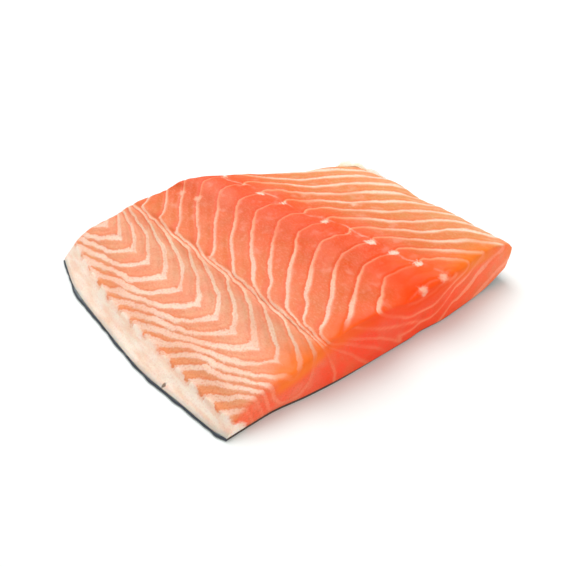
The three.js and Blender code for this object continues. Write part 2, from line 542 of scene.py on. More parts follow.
def steepness(field):
    """How fast a field changes along the flesh's surface, per millimetre."""
    corner = flesh_points[flesh_faces]
    first, second = corner[:, 2] - corner[:, 0], corner[:, 3] - corner[:, 1]
    rise = field[flesh_faces]
    one, two = rise[:, 2] - rise[:, 0], rise[:, 3] - rise[:, 1]
    square, cross, other = (first**2).sum(1), (first * second).sum(1), (second**2).sum(1)
    area = np.maximum(square * other - cross**2, 1e-12)
    slope = np.sqrt(np.maximum(one**2 * other - 2 * one * two * cross + two**2 * square, 0) / area)
    weight = np.repeat(np.sqrt(area), 4)
    total = np.bincount(flesh_faces.ravel(), np.repeat(slope, 4) * weight, len(field))
    return total / np.maximum(np.bincount(flesh_faces.ravel(), weight, len(field)), 1e-9)


def waves(points, size, seed, count=32):
    """Random ups and downs of mean 0 and spread 1, about a size apart from hump to hump."""
    draw = np.random.default_rng(seed)
    ways = draw.normal(size=(count, 3)) * (2 / size)
    starts = draw.uniform(0, 2 * math.pi, count)
    return np.cos(points @ ways.T + starts).sum(1) * math.sqrt(2 / count)


over_back = ease(band, *BACK_BANDS)
wander = sum(
    lerp(loin_push, back_push, over_back) * waves(flesh_points, size, seed)
    for size, seed, loin_push, back_push in WANDERINGS
)
flake = plain_flake + wander * np.clip(steepness(plain_flake), GENTLEST, STEEPEST_WANDER)
slope = np.clip(steepness(flake), GENTLEST, STEEPEST)
nearest_line = np.round(flake)
beyond_line = (flake - nearest_line) / slope
off_line = np.abs(beyond_line)
print("lines wander by up to", round(float(np.abs(wander).max()), 1), "mm")

# %% [markdown]
# The fat is thick along the belly, thin over the loin, and broad again but faint over the back.
# Its half-width swells and shrinks along each line. Over the loin the lines are broadest towards
# the front cut, and on the cuts none is broad. The top turns into a cut crisply at the loin and
# softly along the thin belly.

# %% Width of the fat
CRISP_TURNS = 4
SOFT_TURNS = 40
CRISP_BANDS = (1.6, 2.1)
CUT_WIDTHS = (0.5, 0.85)
LONG_SWELL = 0.2
SHORT_SWELL = 0.12
NEAR_FRONT = (100, 25)
LOIN_WIDTHS = (0.82, 1.6)
LEAST_WIDTH = 0.15
half_width = smooth([
    (-1, 0.9), (0, 0.95), (0.3, 0.9), (0.6, 0.78), (0.85, 1.1), (1, 1.3), (1.06, 0.95), (1.4, 0.7),
    (1.8, 0.4), (2, 0.28), (2.07, 0.38), (2.3, 0.4), (2.7, 0.27), (2.96, 0.22), (3.1, 0.42),
    (3.4, 0.78), (4, 1),
])

crisp_cut = melted(on_cut.astype(float), 0.5, CRISP_TURNS)
soft_cut = melted(crisp_cut, 0.5, SOFT_TURNS)
cut = lerp(soft_cut, crisp_cut, ease(band, *CRISP_BANDS))
cut_width = lerp(*CUT_WIDTHS, over_back)
fat_width = lerp(half_width(band), np.minimum(half_width(band), cut_width), cut)
long_swell = LONG_SWELL * waves(flesh_points, 10, seed=7)
short_swell = SHORT_SWELL * waves(flesh_points, 4, seed=5)
fat_width = fat_width * (1 + long_swell + short_swell)
loin_share = ease(band, 2.02, 2.1) * (1 - ease(band, 2.5, 2.8)) * (1 - cut)
near_front = ease(y, *NEAR_FRONT)
fat_width = fat_width * lerp(1, lerp(*LOIN_WIDTHS, near_front), loin_share)
fat_width = np.maximum(fat_width, LEAST_WIDTH)
print("lines of fat up to", round(2 * float(fat_width.max()), 1), "mm wide")

# %% [markdown]
# Where a wall of fat dips under clear muscle it fades out in a tail. All walls lean the same way,
# so the tail in front of a line is the longer one. Some bands have weaker lines. The last line in
# front fades on the top of the loin, and the one before it stops short of the seam.

# %% Tails and strength of the fat
LAST_LINE = -7
LAST_LINE_FADES = (2.3, 2.5)
SHORT_LINE = -6
CUT_FRONT_TAILS = (1, 1.6)
CUT_REAR_TAILS = (0.8, 1.1)
UNEVENNESS = (0.15, 0.35)
FRONT_STRENGTH = 1.3
front_tail = smooth([
    (-1, 1.1), (0.3, 1.1), (0.6, 1.2), (0.85, 1.6), (1.05, 1.4), (1.8, 0.9), (2.3, 1.7), (2.9, 1.3),
    (3.2, 2.2), (4, 2.6),
])
rear_tail = smooth([
    (-1, 0.9), (0.3, 0.9), (0.6, 0.9), (0.85, 1), (1.05, 0.8), (1.8, 0.45), (2.3, 0.4), (2.9, 0.4),
    (3.2, 0.9), (4, 1.3),
])
line_strength = smooth([
    (0, 0.9), (1.6, 0.85), (2, 0.8), (2.15, 1), (2.35, 1), (2.6, 0.55), (2.9, 0.5), (3.1, 0.8),
    (4, 0.95),
])
cut_strength = smooth([
    (0, 0.6), (1.5, 0.65), (2.1, 0.45), (2.5, 0.4), (2.9, 0.6), (3.1, 1), (4, 1),
])

past_seam = ease(band, 2, 2.6)
tail_in_front = lerp(front_tail(band), lerp(*CUT_FRONT_TAILS, past_seam), cut)
tail_behind = lerp(rear_tail(band), lerp(*CUT_REAR_TAILS, past_seam), cut)
strength = lerp(line_strength(band), cut_strength(band), cut)
strength = strength * (1 + lerp(*UNEVENNESS, cut) * waves(flesh_points, 14, seed=8))
strength = strength * lerp(1, FRONT_STRENGTH, near_front * loin_share)
last_fades = ease(band, *LAST_LINE_FADES) * (1 - cut)
strength = strength * np.where(nearest_line < LAST_LINE, 1 - last_fades, 1)
short_foot = ease(band, 2.24, 2.16) * ease(depth, 6, 2) * ease(y, 12, 4)
strength = strength * np.where(nearest_line == SHORT_LINE, 1 - short_foot, 1)
print("line strength from", round(float(strength.min()), 1), "to", round(float(strength.max()), 1))

# %% [markdown]
# Raw flakes stand up a little between their walls of fat. A shallow furrow with its ledge on one
# side follows each line, and one more follows the seam. The flake numbers that draw the fat also
# cut the furrows into the mesh, so that light and colour agree. Soft swellings and small dimples
# come on top, and each point moves along its own outward direction.

# %% Furrows
CROWN = 0.28
LEDGE_SHIFT = 0.5
CUT_GROOVE = 0.4
SWELLS = (0.2, 0.45)
DIMPLES = 0.07
SEAM_GROOVE = 0.5
SEAM_WIDTH = 1.5
SEAM_WANDER = 0.8
RELIEF_BANDS = (-0.2, 0.4)
RELIEF_STARTS = (0.3, 3)
groove_depth = smooth([
    (-1, 0.2), (1, 0.3), (2, 0.35), (2.4, 0.45), (3, 0.35), (3.5, 0.4), (4, 0.5),
])

relief = CROWN * (1 - (2 * np.abs(flake - nearest_line)) ** 2)
relief = relief - groove_depth(band) * hump((beyond_line - LEDGE_SHIFT) / (0.6 * fat_width + 0.5))
from_seam = x - seam_line(y) + SEAM_WANDER * waves(flesh_points, 20, seed=13)
relief = relief - SEAM_GROOVE * hump(from_seam / SEAM_WIDTH)
relief = relief * ease(band, *RELIEF_BANDS) * lerp(1, CUT_GROOVE, cut)
relief = relief + lerp(*SWELLS, cut) * waves(flesh_points, 16, seed=11)
relief = relief + DIMPLES * waves(flesh_points, 5, seed=12)
relief = relief * ease(z - bottom, *RELIEF_STARTS)

outward = np.zeros_like(flesh_points)
corner = flesh_points[flesh_faces]
face_normals = np.cross(corner[:, 2] - corner[:, 0], corner[:, 3] - corner[:, 1])
for axis in range(3):
    shared = np.repeat(face_normals[:, axis], 4)
    outward[:, axis] = np.bincount(flesh_faces.ravel(), shared, len(outward))
outward /= np.maximum(np.linalg.norm(outward, axis=1, keepdims=True), 1e-9)
flesh_points = flesh_points + outward * relief[:, None]
print("relief from", round(float(relief.min()), 2), "to", round(float(relief.max()), 2), "mm")

# %% [markdown]
# Small marks break the pattern up. Where a wall of fat crosses the midline of the loin, a tendon
# ends in a small white knot, stronger on some lines than on others. A few soft pale spots lie
# elsewhere, given by place, radius and strength, and the pale rim has one dark nick.

# %% Knots, pale spots and a nick
MIDLINE = 3
MIDLINE_SCALE = 50
KNOTS = {2: 0.7, 1: 0.5, 0: 0.9, -1: 0.8, -2: 0.4, -3: 0.9, -4: 0.6, -5: 1, -6: 1, -7: 1}
KNOT_SIZE = 2.4
KNOT_SHIFT = 0.9
KNOT_SHARE = 2
KNOT_DEPTHS = (0.5, 3)
PALE_DEPTHS = (0.5, 2.5)
PALE_SPOTS = [
    (118.5, -6, 2.5, 1), (106.5, -4.8, 2.5, 1), (66, 111, 2.3, 1), (63, 121, 1.9, 1),
    (126.5, 60, 2.3, 1),
]
NICK_PLACE = (-4, 38.3)
NICK_SIZE = (1.7, 1.1)

x, y, z = flesh_points.T


def spots(rows):
    """Soft round spots at places in plan, as one field."""
    return sum(
        amount * np.exp(-((x - spot_x) ** 2 + (y - spot_y) ** 2) / radius**2)
        for spot_x, spot_y, radius, amount in rows
    )


knot_strength = np.zeros_like(flake)
for number, amount in KNOTS.items():
    knot_strength[nearest_line == number] = amount
from_midline = (band - MIDLINE) * MIDLINE_SCALE
knot = hump(off_line / KNOT_SIZE, (from_midline + KNOT_SHIFT) / KNOT_SHARE)
knot = knot * knot_strength * (1 - ease(depth, *KNOT_DEPTHS))
pale = spots(PALE_SPOTS) * (1 - ease(depth, *PALE_DEPTHS))
nick = hump((x - NICK_PLACE[0]) / NICK_SIZE[0], (y - NICK_PLACE[1]) / NICK_SIZE[1])
print(len(KNOTS), "knots and", len(PALE_SPOTS), "pale spots")

# %% [markdown]
# Where the flesh is thin or torn at the front cut, light shines through it, so it glows a purer
# orange, and that glow is painted into the colour. The painted glow has spots of its own and
# follows the whole edge from the tips on. The cut is flushed deeper than the top, and one faint
# branch line slants down it under the loin.

# %% Painted glow and flush of the cuts
GLOWS = [
    (38, -3, 9, 1), (30, 0, 6, 0.8), (40, 8, 12, 0.35), (49, -2, 4, 0.9), (62, -1, 7, 0.6),
    (109, 1, 9, 1.1), (104, 12, 10, 0.8), (111, 14, 6, 0.4), (122, -3, 12, 0.5),
    (152, -5, 10, 0.45),
]
EDGE_GLOW = 0.55
EDGE_GLOW_REACH = 8
EDGE_GLOW_BANDS = (1.2, 2.1)
GLOW_DEPTHS = (3, 8)
SPUR_WIDTH = 0.7
SPUR_STARTS = (58, 66)
SPUR_ENDS = (98, 108)
FRONT_ONLY = (12, 6)
flush_share = smooth([
    (-1, 0.3), (0, 0.85), (1, 0.9), (2, 0.93), (2.6, 0.97), (3.3, 0.92), (3.8, 0.8), (4, 0.7),
])
spur_height = smooth([
    (58, 27), (62, 25.3), (70.8, 20.8), (78.2, 17.2), (90.5, 12), (96.8, 9.8), (106, 6.6),
])

# Painted glow along the front edge, from the tips onwards.
front_glow = EDGE_GLOW * hump((y - front_cut(x)) / EDGE_GLOW_REACH) * ease(band, *EDGE_GLOW_BANDS)
front_glow = front_glow * (1 + 0.5 * waves(flesh_points, 16, seed=15))
glow = np.minimum(spots(GLOWS) + front_glow, 1)
glow = np.maximum(glow, 0) * (1 - ease(depth, *GLOW_DEPTHS))
spur = hump((z - spur_height(x)) / SPUR_WIDTH) * ease(x, *SPUR_STARTS) * (1 - ease(x, *SPUR_ENDS))
spur = spur * cut * ease(y, *FRONT_ONLY) * (1 + 0.4 * waves(flesh_points, 9, seed=16))
print(len(GLOWS), "glowing spots")

# %% [markdown]
# The mesh goes into Blender in metres, moved from the fish's frame to the frame of the solids.
# Their box says where: its low corner is the furthest point of the skin on each side. What the
# material needs to know rides along as one number a point for each field. On the cut the pale
# rim stands further in near the skin, and painted shade lies on the foot, the strip where loin
# lines meet the seam.

# %% Mesh objects
SKIN_PROUD = 0.8
CREASE_ANGLE = math.radians(50)
RIM_ON_CUT = 4
RIM_HEIGHTS = (10, 2)
FOOT_BEGINS = (2.02, 2.07)
FOOT_ENDS = (2.09, 2.2)
MIDLINE_WANDER = 0.8
EDGE_SAMPLES = np.linspace(-12, 148, 641)
CUT_SAMPLES = np.linspace(-10, 170, 721)

low = solid_box[0] / MM
FISH_ZERO = np.array([
    low.x - (belly_edge(EDGE_SAMPLES).min() - SKIN_PROUD),
    low.y - front_cut(CUT_SAMPLES).min(),
    0,
])


def mesh_piece(name, points, faces, fields):
    mesh = bpy.data.meshes.new(name)
    mesh.from_pydata((points + FISH_ZERO) * MM, [], faces)
    for field, values in fields.items():
        data = mesh.attributes.new(field, "FLOAT", "POINT").data
        data.foreach_set("value", values.astype(np.float32))
    mesh.shade_smooth()
    mesh.set_sharp_from_angle(angle=CREASE_ANGLE)
    piece = bpy.data.objects.new(name, mesh)
    bpy.context.collection.objects.link(piece)
    return piece


flesh = mesh_piece("salmon_flesh", flesh_points, [*flesh_faces.tolist(), *underside_faces], {
    "flake": flake, "slope": slope, "band": band, "cut": cut, "fat_width": fat_width,
    "front_tail": tail_in_front, "rear_tail": tail_behind, "strength": strength,
    "knot": knot, "glow": glow, "pale": pale, "spur": spur, "nick": nick,
    "from_midline": from_midline + MIDLINE_WANDER * waves(flesh_points, 12, seed=14),
    "from_rim": x - rim_line(y) - RIM_ON_CUT * cut * ease(z, *RIM_HEIGHTS),
    "from_edge": x - belly_edge(y),
    # The strip where painted shade lies at the foot of the loin's lines.
    "foot": ease(band, *FOOT_BEGINS) * (1 - ease(band, *FOOT_ENDS)),
    "flush": cut * flush_share(band),
})
print("flesh zero is at", FISH_ZERO.round(2), "mm")

# %% [markdown]
# Materials are written as sums. A Value wraps one socket of a node, and Python's operators on it
# add Math nodes, so that 1 - mask works as it reads. Everything else, from noise to the shader
# itself, comes from one method that adds a node.

# %% A small language for materials
def operators(operation):
    """A Python operator that adds a Math node, and its reflected form."""
    return (
        lambda self, other: self.math(operation, self, other),
        lambda self, other: self.math(operation, other, self),
    )


class Value:
    """A number or colour on its way through a material's nodes."""

    def __init__(self, tree, socket=None):
        self.tree = tree
        self.socket = socket

    def node(self, kind, settings, sockets, output=0):
        """Adds a node: first its settings, then its sockets' values or links."""
        made = self.tree.nodes.new("ShaderNode" + kind)
        for name, setting in settings.items():
            if name == "stops":
                fill_ramp(made.color_ramp, setting)
            else:
                setattr(made, name, setting)
        for name, given in sockets.items():
            if isinstance(given, Value):
                self.tree.links.new(given.socket, made.inputs[name])
            else:
                made.inputs[name].default_value = given
        return Value(self.tree, made.outputs[output])

    def math(self, operation, *given):
        return self.node("Math", {"operation": operation}, dict(enumerate(given)))

    __add__, __radd__ = operators("ADD")
    __sub__, __rsub__ = operators("SUBTRACT")
    __mul__, __rmul__ = operators("MULTIPLY")
    __truediv__, __rtruediv__ = operators("DIVIDE")

    def __abs__(self):
        return self.math("ABSOLUTE", self)


def fill_ramp(ramp, stops):
    while len(ramp.elements) < len(stops):
        ramp.elements.new(1)
    for element, (position, colour) in zip(ramp.elements, stops):
        element.position = position
        element.color = colour


print("Math nodes can now be written with + - * / and abs")

# %% [markdown]
# Colours are picked as screen colours and turned into the linear light that the renderer adds
# up. The other helpers are the few nodes that the materials share, such as noise of a size in
# millimetres, a soft step, and tints laid over a colour in layers.

# %% Shared nodes
def paint(code):
    """A screen colour such as #ff8040 as linear red, green, blue and alpha."""
    shares = [int(code[i:i + 2], 16) / 255 for i in (1, 3, 5)]
    return (*[c / 12.92 if c <= 0.04045 else ((c + 0.055) / 1.055) ** 2.4 for c in shares], 1)


def new_material(name):
    material = bpy.data.materials.new(name)
    material.use_nodes = True
    material.node_tree.nodes.clear()
    return material, Value(material.node_tree)


def dress(piece, material, shader):
    """Ends a material in its shader and gives it to a piece."""
    tree = material.node_tree
    tree.links.new(shader.socket, tree.nodes.new("ShaderNodeOutputMaterial").inputs["Surface"])
    piece.data.materials.append(material)
    print(material.name, "has", len(tree.nodes), "nodes")


def field(base, name):
    return base.node("Attribute", {"attribute_name": name}, {}, "Fac")


def scaled(spot, *factors):
    return spot.node("VectorMath", {"operation": "MULTIPLY"}, {0: spot, 1: factors})


def millimetres(base):
    """The place on the piece in millimetres."""
    return scaled(base.node("TexCoord", {}, {}, "Object"), 1000, 1000, 1000)


def noise(spot, size, detail=2):
    """Noise between 0 and 1 whose blots are about a size apart."""
    return spot.node("TexNoise", {}, {"Vector": spot, "Scale": 1 / size, "Detail": detail}, "Fac")


def swing(blots, amount):
    """Noise made to swing about 0 instead of a half."""
    return (blots - 0.5) * amount


def step(value, low, high):
    """Rises softly from 0 at low to 1 at high, or falls where low is the larger."""
    sockets = {"Value": value, "From Min": low, "From Max": high}
    return value.node("MapRange", {"interpolation_type": "SMOOTHSTEP"}, sockets)


def blend(factor, first, second):
    """The first colour where the factor is 0 and the second where it is 1."""
    return factor.node("Mix", {"data_type": "RGBA"}, {0: factor, 6: first, 7: second}, 2)


def layered(colour, layers):
    """Lays tints over a colour in turn, each through its own mask."""
    for mask, tint in layers:
        colour = blend(mask, colour, tint)
    return colour


print("a mid grey on screen is", round(paint("#808080")[0], 2), "in linear light")

# %% [markdown]
# The palette follows the bands. Belly flesh is a pale salmon pink, the loin is a deep orange,
# and the back fades to apricot. The fat is cream along the belly and a warmer pink over the
# loin. A colour ramp reads the band, from -1 to 4, as a share from 0 to 1.

# %% Palette
FIRST_BAND, LAST_BAND = -1, 4
FLESH_TONES = {
    -1: "#e69f80", 0.2: "#e59d72", 1: "#e69f7b", 1.7: "#e1a280", 2.1: "#dc7640", 2.6: "#d04d0c",
    2.95: "#cf4400", 3.2: "#cd6b2b", 4: "#d59860",
}
# Tones of the painted shade in the crevices behind the lines.
CREVICE_SHADE_TONES = {
    -1: "#e2733c", 1: "#e3693a", 2: "#e25a33", 2.6: "#e2401c", 3.2: "#dd5220", 4: "#df6f38",
}
FAT_TONES = {
    -1: "#f3c1aa", 1: "#f3ceba", 1.9: "#f5d1b6", 2.2: "#f5b9a3", 2.6: "#f5a480", 3.1: "#f19469",
    3.3: "#f3c1a8", 4: "#f1ccb4",
}
CUT_TONES = {
    -1: "#ff7a50", 0.3: "#ff5c3a", 1.2: "#ff5230", 2: "#ff4722", 2.5: "#fa3c19", 3: "#ff491c",
    4: "#ff6c3a",
}
CUT_FAT = paint("#fc845d")
TENDON = paint("#f7d2c0")
GLOW = paint("#f54503")
GLOW_BELLY = paint("#fa7322")
GLOW_BACK = paint("#f0741a")
PINK = paint("#e97f60")
SHADE = paint("#d65f36")
TONGUE = paint("#f39c68")
RIM_CREAM = paint("#fde5d6")
RIM_BLUSH = paint("#f6c8af")
SILVER = paint("#c2b9b5")
NICK_DARK = paint("#5b4a40")
PALE = paint("#f3b095")


def share_of(band):
    return (band - FIRST_BAND) / (LAST_BAND - FIRST_BAND)


def tones(position, table):
    """The colour of a table of bands at a position along the ramp."""
    stops = [(share_of(band), paint(code)) for band, code in table.items()]
    return position.node("ValToRGB", {"stops": stops}, {"Fac": position})


print("the seam is at", share_of(2), "of a ramp")

# %% [markdown]
# The flesh's material starts from the fields on its mesh and from four sizes of noise: fibres
# that run along the fish, grain, fine grain and broad blots.

# %% Fields and noise of the flesh
flesh_material, base = new_material("raw_flesh")
spot = millimetres(base)
band_share = share_of(field(base, "band"))
flake_here = field(base, "flake")
slope_here = field(base, "slope")
cut_here = field(base, "cut")
glow_here = field(base, "glow")
on_top_here = 1 - cut_here

fibres = noise(scaled(spot, 1, 0.4, 1), 0.7, detail=3)
grain = noise(spot, 1.6, detail=3)
fine_grain = noise(spot, 0.5, detail=1)
blots = noise(spot, 9)
belly_share = step(band_share, 0.62, 0.3)
print("the flesh carries", len(flesh.data.attributes), "fields and attributes")

# %% [markdown]
# The lines of fat come from the flake number: the distance to the nearest line less the line's
# half-width, frayed by fine noise where muscle fibres end in the fat. It frays most over the
# belly. Along the pale rim the muscle ends in blunt tongues, one between each pair of lines,
# that point a little to one side. A smooth minimum joins the lines to the rim.

# %% Lines of fat and the rim
LINE_WOBBLE = 0.3
RIM_WOBBLE = 1.6
FIBRE_FRAY, BELLY_FIBRE_FRAY = 0.6, 0.9
GRAIN_FRAY = 0.5
FINE_FRAY, BELLY_FINE_FRAY = 0.3, 0.5
TONGUE_REACH = 2.5
TONGUE_SLANT = 0.45
TONGUE_TAPER = 1.4
JOIN_WIDTH = 2

beyond_line_here = (flake_here - base.math("ROUND", flake_here)) / slope_here
beyond_line_here = beyond_line_here + swing(grain, LINE_WOBBLE)
fibre_fray = swing(fibres, FIBRE_FRAY + BELLY_FIBRE_FRAY * belly_share)
fine_fray = swing(fine_grain, FINE_FRAY + BELLY_FINE_FRAY * belly_share)
to_muscle = abs(beyond_line_here) + fibre_fray - field(base, "fat_width")
to_muscle = to_muscle + swing(grain, GRAIN_FRAY) + fine_fray
off_middle = (flake_here - base.math("FLOOR", flake_here) - 0.5) / slope_here
off_middle = base.math("MINIMUM", base.math("MAXIMUM", off_middle, -TONGUE_REACH), TONGUE_REACH)
from_rim = field(base, "from_rim") + swing(grain, RIM_WOBBLE)
from_tip = (from_rim - TONGUE_SLANT * off_middle) * TONGUE_TAPER
muscle = base.math("SMOOTH_MIN", to_muscle, from_tip, JOIN_WIDTH)
rim = step(from_tip, 1, -2)
print("lines and rim take", len(base.tree.nodes), "nodes")

# %% [markdown]
# Outside its core a line fades away over its tail, which differs in front of and behind it. The
# fade is squared, so that it starts fast and ends softly. Right behind a line the flake's edge
# stands up, so a thin crevice there lies in shade, which is painted in darker, and deeper still at
# the foot of the loin's lines.

# %% Fading of the fat and painted crevice shade
BEHIND = (-0.15, 0.15)
GLOW_HIDES = 0.65
CREVICE_SHADE_SHARE = 0.45
FOOT_SHADE_SHARE = 0.6

behind = step(beyond_line_here, *BEHIND)
tail = behind * field(base, "rear_tail") + (1 - behind) * field(base, "front_tail")
fading = base.math("MAXIMUM", 1 - base.math("MAXIMUM", muscle, 0) / tail, 0)
line_strength_here = field(base, "strength") * (1 - GLOW_HIDES * glow_here)
fat = fading * fading * (rim + (1 - rim) * line_strength_here)
# Painted shade in the thin crevice right behind each line.
crevice_shade = step(muscle, 1.8, 0.4) * step(muscle, -0.3, 0.4) * behind * (1 - rim)
# Painted shade at the foot of the loin's lines, by the seam.
foot = field(base, "foot") * step(muscle, 4.5, 0.5) * behind * on_top_here
crevice_shade = base.math("MAXIMUM", crevice_shade * CREVICE_SHADE_SHARE, foot * FOOT_SHADE_SHARE)
print("with their tails", len(base.tree.nodes), "nodes")

# %% [markdown]
# Muscle is never one flat orange. Over the tone of its band lie blots of deeper orange, pale
# fibres, pink patches, a strip of painted glow along the loin's midline, orange tongues at the rim,
# a few pale smears, the painted shade of the crevices, the flush of the cuts and last the painted
# glow.

# %% Colours of the muscle
BLOT_SHARE = 0.22
FIBRE_SHARE = 0.18
PATCH_SHARE = 0.3
MIDLINE_GLOW_SHARE = 0.35
TONGUE_SHARE = 0.65
SMEAR_SHARE = 0.15
EVEN_SHARE, BLOTTED_SHARE = 0.75, 0.25

fat_tones = tones(band_share, FAT_TONES)
patches = noise(spot, 22, detail=3)
# The strip along the loin's midline that is painted a deeper orange, as glow.
midline_glow = step(abs(field(base, "from_midline") + 3), 16, 2) * on_top_here
smears = step(noise(spot, 6, detail=1), 0.55, 0.8) * step(band_share, 0.6, 0.66)
flush = field(base, "flush") * (EVEN_SHARE + BLOTTED_SHARE * step(blots, 0.35, 0.6))
shine_through = glow_here * (EVEN_SHARE + BLOTTED_SHARE * step(blots, 0.3, 0.6))
glow_colour = layered(GLOW_BELLY, [
    (step(band_share, 0.54, 0.7), GLOW),
    (step(band_share, 0.75, 0.88), GLOW_BACK),
])
flesh_colour = layered(tones(band_share, FLESH_TONES), [
    (step(blots, 0.25, 0.75) * BLOT_SHARE, GLOW),
    (step(fibres, 0.45, 0.75) * FIBRE_SHARE, fat_tones),
    (step(patches, 0.45, 0.7) * PATCH_SHARE, PINK),
    # Painted glow along the loin's midline.
    (midline_glow * MIDLINE_GLOW_SHARE, GLOW),
    (step(from_tip, 11, 1) * TONGUE_SHARE, TONGUE),
    (smears * SMEAR_SHARE, TENDON),
    # Painted shade of the crevices.
    (crevice_shade, tones(band_share, CREVICE_SHADE_TONES)),
    (flush, tones(band_share, CUT_TONES)),
    (shine_through, glow_colour),
])
print("with the muscle's colours", len(base.tree.nodes), "nodes")

# %% [markdown]
# The fat takes its own tones, deeper on the cuts, and the rim is a cream with long blushes. Over
# both lie the small marks: the branch line on the front cut, the pale spots, the knots and the
# thin walls that join them, specks of orange and of shade between the fibres, the silvery inner
# side of the skin along the belly edge, and the nick.

# %% Colours of the fat and small marks
CUT_FAT_SHARE = 0.9
BLUSH_SHARE = 0.75
THIN_WALL_SHARE = 0.3
KNOT_COVER = 0.85
PALE_COVER = 0.9
SPUR_COVER = 0.55
SPECK_SHARE = 0.12
SHADE_SHARE, BELLY_SHADE_SHARE = 0.26, 0.12
RIM_SPARED = 0.6
LIGHT_SPECK_SHARE = 0.08
SILVER_SHARE = 0.5
NICK_COVER = 0.8

stains = noise(scaled(spot, 1, 0.22, 1), 3, detail=3)
rim_colour = blend(step(stains, 0.35, 0.7) * BLUSH_SHARE, RIM_CREAM, RIM_BLUSH)
fat_colour = layered(fat_tones, [(cut_here * CUT_FAT_SHARE, CUT_FAT), (rim, rim_colour)])

off_midline = abs(field(base, "from_midline")) + swing(grain, 1.5)
thin_walls = step(off_midline, 0.9, 0) * step(blots, 0.35, 0.65) * THIN_WALL_SHARE * on_top_here
knots = step(field(base, "knot") + swing(grain, 0.5) + swing(fibres, 1.2), 0.35, 0.85) * KNOT_COVER
pale_here = field(base, "pale") + swing(grain, 0.9) + swing(fibres, 0.6)
unlit = 1 - glow_here
speckle = step(noise(spot, 0.8), 0.47, 0.72)
speckle = speckle * (SHADE_SHARE + BELLY_SHADE_SHARE * belly_share) * unlit
from_edge_here = field(base, "from_edge") + swing(grain, 1.2)
nick_here = field(base, "nick") + swing(grain, 0.6)
colour = layered(flesh_colour, [
    (fat, fat_colour),
    (field(base, "spur") * SPUR_COVER, CUT_FAT),
    (step(pale_here, 0.2, 1) * PALE_COVER, PALE),
    (base.math("MAXIMUM", knots, thin_walls), TENDON),
    (step(fine_grain, 0.45, 0.8) * SPECK_SHARE, GLOW),
    (speckle * (1 - RIM_SPARED * rim), SHADE),
    (step(fine_grain, 0.5, 0.2) * LIGHT_SPECK_SHARE * unlit, TENDON),
    (step(from_edge_here, 1.8, 0.3) * SILVER_SHARE, SILVER),
    (step(nick_here, 0.4, 0.8) * NICK_COVER, NICK_DARK),
])
print("with fat and marks", len(base.tree.nodes), "nodes")

# %% [markdown]
# Light enters moist flesh and comes out again a little further on, redder than it went in, which
# subsurface scattering does. Grain and fibres make a faint bump, and a thin coat is the moisture.

# %% Moist surface
BUMP_HEIGHT = 0.4 * MM
SCATTER_DISTANCE = 2.5 * MM

surface = fibres * 0.35 + grain * 0.35 + fine_grain * 0.12 + fat * 0.2
bump = base.node("Bump", {}, {"Strength": 0.3, "Distance": BUMP_HEIGHT, "Height": surface})
wet = base.node("BsdfPrincipled", {}, {
    "Base Color": colour,
    "Roughness": 0.4 + 0.14 * grain,
    "IOR": 1.4,
    "Specular IOR Level": 0.22,
    "Subsurface Weight": 0.35,
    "Subsurface Radius": (1.0, 0.35, 0.18),
    "Subsurface Scale": SCATTER_DISTANCE,
    "Coat Weight": 0.03,
    "Coat Roughness": 0.2,
    "Normal": bump,
})
dress(flesh, flesh_material, wet)

# %% [markdown]
# The skin is one thin layer under the flesh. Along the belly the knife leaves it a hair wider,
# so it shows as a dark, slightly wavy line with one broader lip near the rear. Its edge is
# rounded and catches the light. Under the front cut it draws back a little beyond the belly.

# %% Skin
SKIN_CELLS = (120, 104, 4)
SKIN_TOP = 1.1
SKIN_BULGE = 0.3
SKIN_WAVE = 0.16
LIP_PLACE = 114
LIP_REACH = 11
LIP_WIDTH = 0.9
SKIN_TUCK = 0.6
TUCK_STARTS = (50, 80)

skin_places, skin_faces, skin_floor = box_of_cells(*SKIN_CELLS, 1)
skin_share, skin_along, skin_up = (skin_places / SKIN_CELLS).T
skin_at, skin_lift = upright(skin_share, skin_along)
skin_z = skin_lift + SKIN_TOP * skin_up
skin_x, skin_y = skin_at(skin_z)
ripple = waves(np.stack([skin_x, skin_y, skin_z], -1), 4, seed=21)
bulge = np.sqrt(1 - (2 * skin_up - 1) ** 2)
lip = LIP_WIDTH * hump((skin_y - LIP_PLACE) / LIP_REACH)
proud = SKIN_PROUD - SKIN_BULGE * (1 - bulge) + SKIN_WAVE * ripple + lip
tucked = SKIN_TUCK * ease(skin_x, *TUCK_STARTS) * (1 - skin_along) ** EDGE_POWER
skin_x = skin_x - proud * (1 - skin_share) ** EDGE_POWER
skin_points = np.stack([skin_x, skin_y + tucked, skin_z], -1)
skin = mesh_piece("salmon_skin", skin_points, [*skin_faces.tolist(), *skin_floor], {
    "width_share": skin_share,
    "length_share": skin_along,
})
print("the skin stands up to", round(float(proud.max()), 1), "mm past the belly flesh")

# %% [markdown]
# Salmon skin is silvery low on the side and blue-black towards the back, with small overlapping
# scales. A slightly uneven pattern of cells, a little longer than wide, makes them, and feeds the
# bump as well as the colour. The cut edge is dark grey along the belly. In front it is brown,
# partly the skin's own cut edge and partly painted contact shadow along the foot of the flesh.

# %% Skin material
SCALE_SIZE = 3.2
SCALE_DEPTH = 0.3 * MM
SCALE_UNEVENNESS = 0.35
SCALE_SHADE = 0.45
CUT_EDGE = (0.01, 0.0)
SKIN_SILVER = paint("#8f979c")
SKIN_DARK = paint("#1b232b")
SKIN_EDGE = paint("#3a3b47")
# The skin's front cut edge, a brown that is partly painted contact shadow.
SKIN_CUT_AND_SHADOW = paint("#4b382f")

